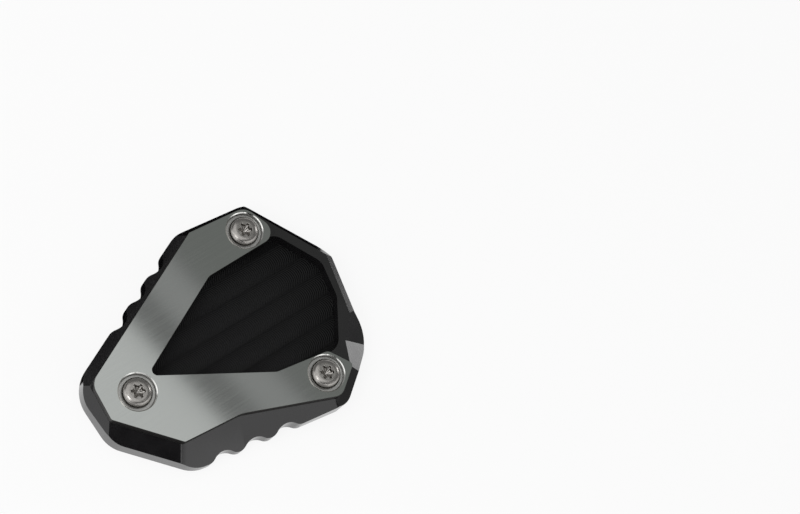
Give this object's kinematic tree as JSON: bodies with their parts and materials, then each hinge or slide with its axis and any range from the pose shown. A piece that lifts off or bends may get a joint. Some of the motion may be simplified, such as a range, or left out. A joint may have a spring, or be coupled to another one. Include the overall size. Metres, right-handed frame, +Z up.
{
  "type": "kickstand foot enlarger",
  "caption": "Bevelled aluminium base with scalloped sides and a pocket for a motorbike kickstand's foot, closed by a V-shaped steel clamp plate and recessed button head screws.",
  "frame": {"origin": "middle of the bounding box, on the plane of the flat sole", "axes": "+X from the toe screw to the heel, +Y to the left seen from above with the toe in front, +Z up out of the pocket"},
  "size_m": [0.092, 0.0724, 0.013],
  "materials": {
    "black_anodised_aluminium": "black anodised, satin",
    "brushed_stainless_plate": "brushed along the plate, satin",
    "stainless_screw": "plain turned stainless steel, satin"
  },
  "bodies": {
    "root": {"base_plate": "black_anodised_aluminium", "clamp_plate": "brushed_stainless_plate", "toe_screw": "stainless_screw", "left_screw": "stainless_screw", "right_screw": "stainless_screw"}
  },
  "joints": []
}
